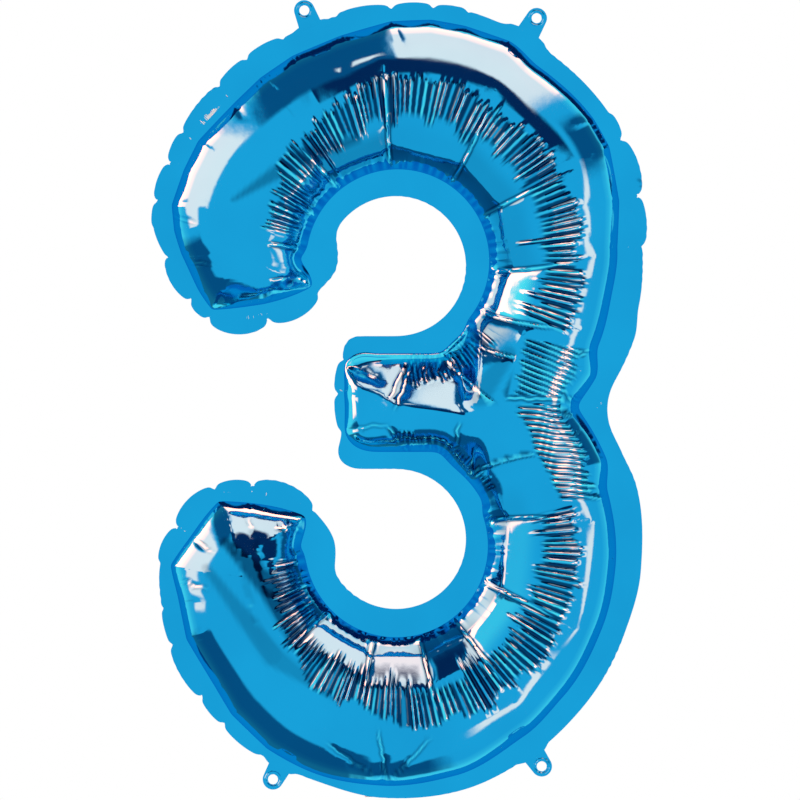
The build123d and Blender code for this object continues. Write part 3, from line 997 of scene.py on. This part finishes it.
def skin_height(places, side):
    """(distance from the middle plane, tone of the foil: painted shade and painted highlight) on the front (side
    1) or the rear (side -1).
    """
    seed = 10 if side > 0 else 90
    index, inside = seam.nearest(places)
    upper_share = ease(-1.5, 1.5, places[:, 1] - MIDDLE_Z)
    height = body_height(places, inside, upper_share)
    detail, tone = creased(places, upper_share)

    inner_side = np.maximum(rings[0].near_inner(places), rings[1].near_inner(places))
    puckers, pucker_tone, share = puckered(index, inside, inner_side, seed)
    tone = tone * (1.0 - share) + pucker_tone
    # Painted light on the steep foil beside the seam, in place of the bright reflection it would show.
    wall = WALL_PAINTED_LIGHT * (1.0 - ease(2.5, 6.0, inside))
    tone = tone * (1.0 - wall) - wall * (1.0 - 0.5 * share)

    detail = detail + puckers - pinch_valleys(places, seed)
    smooth = WANDER * sheet_noise(places, 55.0, seed + 4) * ease(2.0, 14.0, inside)
    raised = height + (detail + smooth) * ease(0.0, 1.2, inside)
    flat = edge_gap(places)
    level = np.where(inside > 0.0, np.maximum(raised, 0.0) + flat, flat)
    return level, tone.clip(-1.0, 1.0) * ease(0.0, 0.4, inside)


def sheet_faces(points, edge_count, seam_count):
    """Triangles over the sheet, with the cut edge and the seam as edges of triangles."""
    loops = closed_sides(0, edge_count) + closed_sides(edge_count, seam_count)
    found = delaunay_2d_cdt([Vector(p) for p in points.tolist()], loops, [], 0, 1e-4, True)
    places = np.array([v[:] for v in found[0]])
    faces = np.array(found[2], dtype=np.int32)
    origin = np.array([ids[0] if ids else -1 for ids in found[3]])
    _, inside = edge.nearest(places[faces].mean(axis=1))
    on_loop = ((origin >= 0) & (origin < edge_count))[faces].all(axis=1)
    return places, faces[(inside > 0.0) | ((inside > -0.05) & ~on_loop)], origin


def make_mesh(name, places, faces, smooth=True):
    """A Blender object from points in millimetres and triangles."""
    mesh = bpy.data.meshes.new(name)
    mesh.vertices.add(len(places))
    mesh.vertices.foreach_set("co", (np.asarray(places) * MM).ravel())
    mesh.loops.add(len(faces) * 3)
    mesh.loops.foreach_set("vertex_index", faces.ravel())
    mesh.polygons.add(len(faces))
    mesh.polygons.foreach_set("loop_start", np.arange(0, len(faces) * 3, 3))
    mesh.polygons.foreach_set("use_smooth", np.full(len(faces), smooth))
    mesh.update(calc_edges=True)
    mesh.validate()
    piece = bpy.data.objects.new(name, mesh)
    bpy.context.scene.collection.objects.link(piece)
    return piece


def sharpen(piece, sharp):
    """Marks the edges whose two ends are both in the given set of points."""
    mesh = piece.data
    ends = np.empty(len(mesh.edges) * 2, dtype=np.int32)
    mesh.edges.foreach_get("vertices", ends)
    ends = ends.reshape(-1, 2)
    chosen = sharp[ends].all(axis=1)
    attribute = mesh.attributes.new("sharp_edge", "BOOLEAN", "EDGE")
    attribute.data.foreach_set("value", chosen)


points, edge_count, seam_count = sheet_points(rings)
sheet_places, sheet_triangles, sheet_origin = sheet_faces(points, edge_count, seam_count)
on_edge = (sheet_origin >= 0) & (sheet_origin < edge_count)
on_seam = (sheet_origin >= edge_count) & (sheet_origin < edge_count + seam_count)
middle = middle_surface(sheet_places)


def foil_panel(name, side):
    """One panel: the raised skin, the flat edge, and, on the front panel only, a narrow rim that closes the
    edge's thickness.
    """
    height, tone = skin_height(sheet_places, side)
    level = np.where(on_seam, edge_gap(sheet_places), height)
    y = middle - side * level
    places = np.column_stack([sheet_places[:, 0], y, sheet_places[:, 1]])
    faces = sheet_triangles if side > 0 else sheet_triangles[:, ::-1]
    sharp = on_seam | on_edge
    if side > 0:
        order = np.full(edge_count, -1)
        order[sheet_origin[on_edge]] = np.nonzero(on_edge)[0]
        rim = places[order].copy()
        rim[:, 1] = middle[order] + edge_gap(sheet_places[order])
        first = len(places)
        here, onward = np.array(closed_sides(0, edge_count)).T
        low = np.column_stack([order[here], first + here, first + onward])
        high = np.column_stack([order[here], first + onward, order[onward]])
        places = np.vstack([places, rim])
        faces = np.vstack([faces, low, high])
        sharp = np.concatenate([sharp, np.zeros(edge_count, dtype=bool)])
    piece = make_mesh(name, places, faces.astype(np.int32))
    sharpen(piece, sharp)
    # The tone goes into two attributes: fold holds the painted shade, glint the painted highlight.
    for attribute, sign in (("fold", 1.0), ("glint", -1.0)):
        values = np.zeros(len(places), dtype=np.float32)
        values[: len(level)] = (sign * tone).clip(0.0)
        piece.data.attributes.new(attribute, "FLOAT", "POINT").data.foreach_set("value", values)
    return piece


front_foil = foil_panel("front_foil", 1)
rear_foil = foil_panel("rear_foil", -1)
for foil, node in ((front_foil, "front_panel"), (rear_foil, "rear_panel")):
    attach(foil, "balloon")
    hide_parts(node)


# The tabs: two plies with a raised ring, whose necks reach in between the panels -----------------------
mounts = {mount["name"]: mount for mount in frame["record"]["mounts"]}
joints = {joint["name"]: joint for joint in frame["record"]["behaviour"]["joints"]}
TAB_HALF = 0.09                         # half its thickness: just under the edge's, which covers its root
TAB_ROOT_DEPTH = 3.2                    # how far it reaches in under the panels
EYE_RADIUS, DISC_RADIUS = 2.4, 4.9
RING_RADIUS, RING_HEIGHT, RING_WIDTH = 3.5, 0.42, 0.42
RIM_RADIUS, RIM_HEIGHT, RIM_WIDTH = 4.5, 0.1, 0.3
TAB_CIRCLES = (2.7, 2.95, 3.2, 3.5, 3.8, 4.05, 4.35)     # radii of the rows of points round the eye
CIRCLE_POINTS = 48
NECK_GATHER = 0.10                      # height of the gathers across the neck


def tab_outline(eye_height):
    """The tab's outline: (across, out from the fold) points, from the left root round to the right root."""
    disc = heading(np.linspace(-58, 238, 60)) * DISC_RADIUS + (0.0, eye_height)
    low = disc[0]
    heights = np.linspace(-TAB_ROOT_DEPTH, low[1], 22)[:-1]
    flare = 1.0 - ease(-1.8, low[1], heights)
    widths = low[0] + 0.15 * np.sin(heights) + 3.0 * flare**1.5
    right = np.column_stack([widths, heights])
    left = np.column_stack([-widths, heights])[::-1]
    return np.vstack([right, disc, left])


def tab_sheet(reach):
    """(points, triangles) of the flat tab, as (across, out from the fold), with its eye cut out."""
    outline = tab_outline(reach)
    eye = (0.0, reach)
    circles = [circle(CIRCLE_POINTS) * radius + eye for radius in (EYE_RADIUS,) + TAB_CIRCLES]
    grid = staggered(np.arange(-8, 8, 0.62), np.arange(-TAB_ROOT_DEPTH + 0.3, reach, 0.55), 0.3)
    _, inside = Loop(resample(outline, 0.3), 0.3).nearest(grid)
    grid = grid[(inside > 0.35) & (np.hypot(*(grid - eye).T) > 4.75)]
    flat = np.vstack([outline] + circles + [grid])
    loops = closed_sides(0, len(outline)) + closed_sides(len(outline), CIRCLE_POINTS)
    found = delaunay_2d_cdt([Vector(p) for p in flat.tolist()], loops, [], 1, 1e-5, True)
    flat = np.array([v[:] for v in found[0]])
    faces = np.array(found[2], dtype=np.int32)
    from_eye = np.hypot(*(flat[faces].mean(axis=1) - eye).T)
    return flat, faces[from_eye > EYE_RADIUS * 0.97]


def tab_piece(place):
    """One tab, from the fold line and eye in the record."""
    root = np.array(joints[f"tab_{place}_fold"]["pos_m"])[[0, 2]] / MM
    eye = np.array(mounts[f"{place}_eye"]["pos_m"])[[0, 2]] / MM
    reach = float(np.hypot(*(eye - root)))
    out = (eye - root) / reach
    across = np.array([out[1], -out[0]])
    flat, faces = tab_sheet(reach)
    radius = np.hypot(flat[:, 0], flat[:, 1] - reach)
    raised_ring = RING_HEIGHT * bell(radius - RING_RADIUS, RING_WIDTH)
    raised_rim = RIM_HEIGHT * bell(radius - RIM_RADIUS, RIM_WIDTH)
    thick = TAB_HALF + (raised_ring + raised_rim)
    gathers = NECK_GATHER * np.cos(flat[:, 0] * 4.4)
    gathers = gathers * ease(reach - 4.2, 0.6, flat[:, 1]) * ease(-1.6, 0.4, flat[:, 1])
    spots = root + flat[:, :1] * across + flat[:, 1:] * out
    plies = [np.column_stack([spots[:, 0], gathers + side * thick, spots[:, 1]]) for side in (-1, 1)]
    count = len(flat)
    rim = open_sides(faces.tolist())
    walls = [(b, a, count + a) for a, b in rim] + [(b, count + a, count + b) for a, b in rim]
    everything = np.vstack([faces, faces[:, ::-1] + count, np.array(walls, dtype=np.int32)])
    piece = make_mesh(f"tab_{place}", np.vstack(plies), everything.astype(np.int32))
    on_rim = np.zeros(2 * count, dtype=bool)
    on_rim[[index for start, _ in rim for index in (start, count + start)]] = True
    sharpen(piece, on_rim)
    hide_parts(f"hang_tab_{place}")
    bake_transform(piece)
    return piece


tabs = [tab_piece(place) for place in ("top_left", "top_right", "bottom_left", "bottom_right")]


# The welded band, inside the flat edge ------------------------------------------------------------------
BAND_OUTER, BAND_INNER = 0.3, 0.88      # shares of the way from the cut edge to the seam
BAND_HALF = 0.05                        # half its thickness


def weld_band():
    """A thin closed band between the panels. It follows the flat edge and stops each side of the valve."""
    index, _ = seam.nearest(edge.points)
    keep = ~((np.abs(edge.points[:, 0] - valve_mouth[0]) < 14.0) & (edge.points[:, 1] < BOTTOM_Z))
    start = int(np.nonzero(keep & ~np.roll(keep, 1))[0][0])
    order = np.roll(np.arange(len(keep)), -start)[: int(keep.sum())]
    rows = []
    for share, side in ((BAND_OUTER, 1), (BAND_INNER, 1), (BAND_INNER, -1), (BAND_OUTER, -1)):
        flat = edge.points[order] * (1.0 - share) + seam.points[index[order]] * share
        rows.append(np.column_stack([flat[:, 0], middle_surface(flat) - side * BAND_HALF, flat[:, 1]]))
    count = len(order)
    faces = []
    for row in range(4):
        here, onward = row * count, (row + 1) % 4 * count
        step = np.arange(count - 1)
        faces.append(np.column_stack([here + step, onward + step, onward + step + 1]))
        faces.append(np.column_stack([here + step, onward + step + 1, here + step + 1]))
    ends = [(0, 2 * count, count), (0, 3 * count, 2 * count)]
    last = count - 1
    ends += [(last, last + count, last + 2 * count), (last, last + 2 * count, last + 3 * count)]
    faces = np.vstack(faces + [np.array(ends)]).astype(np.int32)
    piece = make_mesh("weld_band", np.vstack(rows), faces, smooth=False)
    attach(piece, "balloon")
    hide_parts("perimeter_heat_seal")
    return piece


band = weld_band()


# Materials ----------------------------------------------------------------------------------------------
class Nodes:
    """A node tree, with a short way to add to it."""

    def __init__(self, tree):
        self.tree = tree

    def add(self, kind, links=(), **values):
        """A new node. values are its properties; links are (socket, source socket or constant)."""
        node = self.tree.nodes.new(kind)
        for key, value in values.items():
            setattr(node, key, value)
        for socket, source in links:
            if isinstance(source, bpy.types.NodeSocket):
                self.tree.links.new(source, node.inputs[socket])
            else:
                node.inputs[socket].default_value = source
        return node

    def mix(self, share, low, high):
        """A colour between low and high."""
        return self.add("ShaderNodeMix", ((0, share), (6, low), (7, high)), data_type="RGBA").outputs[2]


class Surface(Nodes):
    """A node material: small helpers around one Principled shader."""

    def __init__(self, name, **settings):
        self.material = bpy.data.materials.new(name)
        self.material.use_nodes = True
        super().__init__(self.material.node_tree)
        self.shader = self.tree.nodes["Principled BSDF"]
        self.object_place = self.add("ShaderNodeTexCoord").outputs["Object"]
        for socket, value in settings.items():
            self.shader.inputs[socket.replace("_", " ")].default_value = value

    def noise(self, scale, detail=2.0):
        """A noise texture's value, in the object's own space."""
        links = (("Vector", self.object_place), ("Scale", scale), ("Detail", detail))
        return self.add("ShaderNodeTexNoise", links).outputs["Fac"]

    def ramp(self, source, low, high):
        """A colour or grey that runs from low to high with the source."""
        node = self.add("ShaderNodeValToRGB", (("Fac", source),))
        for element, (position, colour) in zip(node.color_ramp.elements, (low, high)):
            element.position, element.color = position, colour
        return node.outputs["Color"]

    def spread(self, source, low, high):
        """The source from 0.3 to 0.7, mapped onto low to high."""
        links = (("Value", source), ("From Min", 0.3), ("From Max", 0.7), ("To Min", low), ("To Max", high))
        return self.add("ShaderNodeMapRange", links).outputs["Result"]

    def join(self, socket, source):
        self.tree.links.new(source, self.shader.inputs[socket])

    def bump(self, height, distance, strength):
        links = (("Height", height), ("Distance", distance), ("Strength", strength))
        self.join("Normal", self.add("ShaderNodeBump", links).outputs["Normal"])


# Painted shade and painted highlight, mixed into the foil's colour by its fold and glint attributes.
PAINTED_SHADE_BLUE, PAINTED_LIGHT_BLUE = (0.0, 0.018, 0.085, 1.0), (0.07, 0.80, 0.93, 1.0)
PANEL_BLUE, PANEL_BLUE_DEEPER = (0.009, 0.355, 0.70, 1.0), (0.0085, 0.33, 0.665, 1.0)
TAB_BLUE, TAB_BLUE_DEEPER = (0.009, 0.353, 0.695, 1.0), (0.0085, 0.323, 0.655, 1.0)
WELD_GREY, VALVE_GREY = (0.82, 0.84, 0.86, 1.0), (0.86, 0.88, 0.90, 1.0)
BARRIER_TAN = (0.62, 0.50, 0.34, 1.0)
FLOOR_GREY, FLOOR_LIGHTER = (0.83, 0.83, 0.83, 1), (0.86, 0.86, 0.86, 1)


def foil(name, colour, deeper):
    """Blue ink over bright metal: a mirror, faintly uneven in colour, gloss and flatness, with painted shade and
    painted highlights mixed into its colour.
    """
    surface = Surface(name, Metallic=1.0, Specular_Tint=(0.5, 0.72, 0.92, 1.0))
    tone = surface.ramp(surface.noise(22.0, 3.0), (0.35, deeper), (0.65, colour))
    # Painted shade from the fold attribute and painted highlight from the glint attribute, laid over the foil's
    # blue.
    for attribute, shade in (("fold", PAINTED_SHADE_BLUE), ("glint", PAINTED_LIGHT_BLUE)):
        amount = surface.add("ShaderNodeAttribute", attribute_name=attribute)
        tone = surface.mix(amount.outputs["Fac"], tone, shade)
    surface.join("Base Color", tone)
    surface.join("Roughness", surface.spread(surface.noise(75.0, 4.0), 0.035, 0.085))
    surface.bump(surface.noise(420.0, 3.0), 0.00002, 0.5)
    return surface.material


def film(name, colour, roughness, alpha):
    """Thin clear or coated plastic film, slightly cloudy."""
    surface = Surface(name, Alpha=alpha, IOR=1.5)
    low = tuple(0.86 * part for part in colour[:3]) + (1.0,)
    surface.join("Base Color", surface.ramp(surface.noise(160.0, 3.0), (0.3, low), (0.7, colour)))
    surface.join("Roughness", surface.spread(surface.noise(240.0), roughness, roughness + 0.12))
    surface.bump(surface.noise(600.0), 0.00003, 0.4)
    return surface.material


def dress(piece, material):
    piece.data.materials.clear()
    piece.data.materials.append(material)


dress(front_foil, foil("blue_foil_front", PANEL_BLUE, PANEL_BLUE_DEEPER))
dress(rear_foil, foil("blue_foil_rear", PANEL_BLUE, PANEL_BLUE_DEEPER))
blue_tab = foil("blue_foil_tab", TAB_BLUE, TAB_BLUE_DEEPER)
for tab in tabs:
    dress(tab, blue_tab)
dress(band, film("welded_polyethylene", WELD_GREY, 0.42, 1.0))
valve_material = film("valve_polyethylene", VALVE_GREY, 0.22, 0.75)
barrier_material = film("barrier_coat", BARRIER_TAN, 0.55, 1.0)
for node in ("valve_neck_front_film", "valve_neck_rear_film", "valve_flap_front_film", "valve_flap_rear_film"):
    dress(nodes[node], valve_material)
dress(nodes["valve_heat_barrier"], barrier_material)


# Floor, light and camera ----------------------------------------------------------------------------------
FLOOR_RADIUS, FLOOR_POINTS, FLOOR_GAP = 4000.0, 64, 0.3


def floor():
    """A wide, pale, round floor, just under the object."""
    z = cad_bounds[0].z / MM - FLOOR_GAP
    rim = np.column_stack([circle(FLOOR_POINTS) * FLOOR_RADIUS, np.full(FLOOR_POINTS, z)])
    places = np.vstack([[(0.0, 0.0, z)], rim])
    faces = np.array([(0, start, end) for start, end in closed_sides(1, FLOOR_POINTS)], dtype=np.int32)
    piece = make_mesh("studio_floor", places, faces)
    piece.visible_glossy = False        # the room's level below the horizon stands for it in reflections
    surface = Surface("pale_floor", Specular_IOR_Level=0.0, Roughness=0.85)
    surface.join("Base Color", surface.ramp(surface.noise(3.0), (0.3, FLOOR_GREY), (0.7, FLOOR_LIGHTER)))
    dress(piece, surface.material)


class Sky(Nodes):
    """The studio round the object, as its reflections show it.

    A direction is given by two angles. clock is its bearing as seen from the front, counterclockwise from
    the right. lean is half its angle from straight ahead, which is how far a mirror facing the front must
    lean to show it: 0 is ahead, 45 is square to the side or overhead, and 90 is behind.
    """

    def __init__(self):
        world = bpy.data.worlds.new("studio")
        bpy.context.scene.world = world
        world.use_nodes = True
        world.cycles.sampling_method = "NONE"
        super().__init__(world.node_tree)
        x, y, z = self.outputs("ShaderNodeSeparateXYZ", self.outputs("ShaderNodeTexCoord")[0])
        self.clock = self.math("ARCTAN2", z, x)
        self.lean = self.math("MULTIPLY", self.math("ARCCOSINE", self.math("MULTIPLY", y, -1.0)), 0.5)

    def outputs(self, kind, *sources, **values):
        """The outputs of a new node whose inputs are the sources, in order."""
        return list(self.add(kind, enumerate(sources), **values).outputs)

    def math(self, operation, *sources):
        return self.outputs("ShaderNodeMath", *sources, operation=operation)[0]

    def smooth(self, value, low, high):
        """0 at low, 1 at high, smooth between."""
        sources = (value, low, high, 0.0, 1.0)
        return self.outputs("ShaderNodeMapRange", *sources, interpolation_type="SMOOTHSTEP")[0]

    def window(self, value, low, high, soft):
        """1 between two angles in degrees, falling off over soft degrees at each end."""
        low, high, soft = math.radians(low), math.radians(high), math.radians(soft)
        rising = self.smooth(value, low - soft / 2, low + soft / 2)
        return self.math("MULTIPLY", rising, self.smooth(value, high + soft / 2, high - soft / 2))

    def patch(self, clocks, leans, soft):
        """A lit or dark panel between two clock angles and two leans."""
        middle = math.radians(sum(clocks) / 2)
        away = self.math("WRAP", self.math("SUBTRACT", self.clock, middle), math.pi, -math.pi)
        half = (clocks[1] - clocks[0]) / 2
        in_clocks = self.window(away, -half, half, soft[0])
        return self.math("MULTIPLY", in_clocks, self.window(self.lean, *leans, soft[1]))


PLAIN = (1.0, 1.0, 1.0, 1.0)
NAVY = (0.05, 0.055, 0.13, 1.0)
DEEP = (0.1, 0.21, 0.31, 1.0)
LAMP = (70.0, 2.25, 1.25, 1.0)          # red light: blue foil mirrors it as near white
STUDIO = (                              # (clock range, lean range, softness of each, level), laid in order
    ((25, 122), (18, 30), (8, 3), NAVY),
    ((101, 134), (28, 74), (5, 4), DEEP),
    ((104, 111), (33, 36), (3, 2), LAMP),
    ((47, 100), (29, 62), (5, 3), LAMP),
    ((138, 172), (29, 62), (5, 3), LAMP),
    ((168, 187), (37, 48), (5, 3), LAMP),
    ((14, 38), (35, 62), (8, 5), DEEP),
    ((198, 263), (37, 76), (8, 3), DEEP),
    ((260, 285), (42, 60), (8, 3), DEEP),
    ((-22, 14), (33, 37), (10, 2), LAMP),
    ((300, 330), (29, 34), (8, 2), LAMP),
    ((40, 140), (66, 80), (20, 4), NAVY),
)


def studio():
    """A white room with lit and dark panels; even light for everything that isn't a mirror."""
    sky = Sky()
    room = PLAIN
    for clocks, leans, soft, level in STUDIO:
        room = sky.mix(sky.patch(clocks, leans, soft), room, level)
    is_camera, _, is_diffuse = sky.outputs("ShaderNodeLightPath")[:3]
    room = sky.mix(is_diffuse, room, PLAIN)
    room = sky.mix(is_camera, room, PLAIN)
    sky.tree.links.new(room, sky.tree.nodes["Background"].inputs["Color"])


PICTURE_MARGIN = 1.0013                 # the picture's height as a share of the figure's
CAMERA_PLACE = (0.0002, -1.4, -0.0002)  # metres


def camera():
    """Straight on, from far away, framed like the photograph: the figure fills the picture's height."""
    data = bpy.data.cameras.new("main_camera")
    data.type = "ORTHO"
    data.ortho_scale = (cad_bounds[1].z - cad_bounds[0].z) * PICTURE_MARGIN
    data.clip_end = 20.0
    view = bpy.data.objects.new("main_camera", data)
    bpy.context.scene.collection.objects.link(view)
    view.location = CAMERA_PLACE
    view.rotation_euler = (math.radians(90.0), 0.0, 0.0)
    bpy.context.scene.camera = view


floor()
studio()
camera()
bpy.context.scene.view_settings.view_transform = "Standard"
